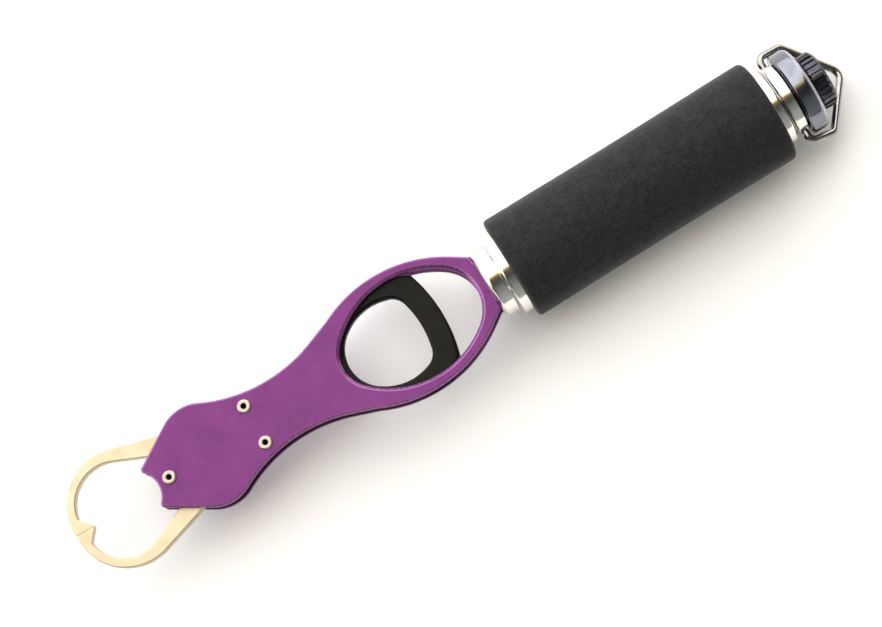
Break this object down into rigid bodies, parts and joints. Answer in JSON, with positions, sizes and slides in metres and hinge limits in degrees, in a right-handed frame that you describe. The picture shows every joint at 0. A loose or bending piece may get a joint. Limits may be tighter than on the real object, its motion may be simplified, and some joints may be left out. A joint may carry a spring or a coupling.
{
  "type": "lip grip",
  "caption": "Hand-held fish lip grip: cam-driven jaws between oval-window side plates, finger trigger, swivelling foam handle and a wire lanyard bail at the end.",
  "frame": {"origin": "middle of the foam grip, on the handle's axis", "axes": "+X along the handle from the jaws towards the lanyard bail, +Z out of the top side plate, jaws opening in the XY plane"},
  "size_m": [0.2447, 0.0356, 0.03],
  "materials": {
    "anodised_plate": "satin purple anodised",
    "rivet_steel": "polished",
    "plain_steel": "plain",
    "jaw_steel": "bright, satin",
    "trigger_plastic": "black moulded",
    "spring_steel": "bright wire",
    "polished_steel": "polished",
    "tube_aluminium": "drawn",
    "bush_plastic": "natural acetal",
    "foam": "black closed-cell foam",
    "dark_chrome": "black chrome",
    "dark_knob": "black, fluted",
    "bail_chrome": "polished wire"
  },
  "bodies": {
    "handle": {"handle_tube": "tube_aluminium", "foam_grip": "foam", "front_collar": "polished_steel", "rear_collar": "polished_steel", "front_bush": "bush_plastic", "rear_bush": "bush_plastic"},
    "head": {"side_plate_top": "anodised_plate", "side_plate_bottom": "anodised_plate", "jaw_pivot_rivet": "rivet_steel", "rear_rivets": "rivet_steel", "spacer_sleeves": "plain_steel", "pivot_spacer": "plain_steel", "bolster": "polished_steel", "spindle": "plain_steel", "end_disc": "dark_chrome", "thrust_washer": "plain_steel", "return_spring_upper": "spring_steel", "return_spring_lower": "spring_steel"},
    "trigger": {"trigger": "trigger_plastic", "trigger_pins": "plain_steel", "drawbar": "plain_steel", "cam_pin": "plain_steel"},
    "upper_jaw": {"upper_jaw": "jaw_steel"},
    "lower_jaw": {"lower_jaw": "jaw_steel"},
    "lanyard_swivel": {"lanyard_collar": "polished_steel"},
    "bail": {"bail": "bail_chrome"},
    "end_knob": {"end_knob": "dark_knob"}
  },
  "joints": [
    {"name": "head_swivel", "type": "hinge", "parent": "handle", "child": "head", "pos_m": [0, 0, 0], "axis": [1, 0, 0], "continuous": true},
    {"name": "trigger_pull", "type": "slide", "parent": "head", "child": "trigger", "axis": [1, 0, 0], "range_m": [0, 0.008], "stiffness_N_per_m": 250, "springref_m": -0.012, "deforming": ["return_spring_upper", "return_spring_lower"]},
    {"name": "upper_jaw_opening", "type": "hinge", "parent": "head", "child": "upper_jaw", "pos_m": [-0.1496, 0, 0], "axis": [0, 0, -1], "range_deg": [0, 26]},
    {"name": "lower_jaw_opening", "type": "hinge", "parent": "head", "child": "lower_jaw", "pos_m": [-0.1496, 0, 0], "axis": [0, 0, 1], "range_deg": [0, 26]},
    {"name": "lanyard_turn", "type": "hinge", "parent": "head", "child": "lanyard_swivel", "pos_m": [0.04625, 0, 0], "axis": [1, 0, 0], "continuous": true},
    {"name": "bail_swing", "type": "hinge", "parent": "lanyard_swivel", "child": "bail", "pos_m": [0.04625, 0, 0], "axis": [0, 1, 0], "range_deg": [-127, 73]},
    {"name": "knob_turn", "type": "hinge", "parent": "head", "child": "end_knob", "pos_m": [0.0563, 0, 0], "axis": [1, 0, 0], "range_deg": [-180, 180]}
  ],
  "couplings": [
    {"joint": "upper_jaw_opening", "follows": "trigger_pull", "rad_per_m": 56.7},
    {"joint": "lower_jaw_opening", "follows": "trigger_pull", "rad_per_m": 56.7}
  ]
}
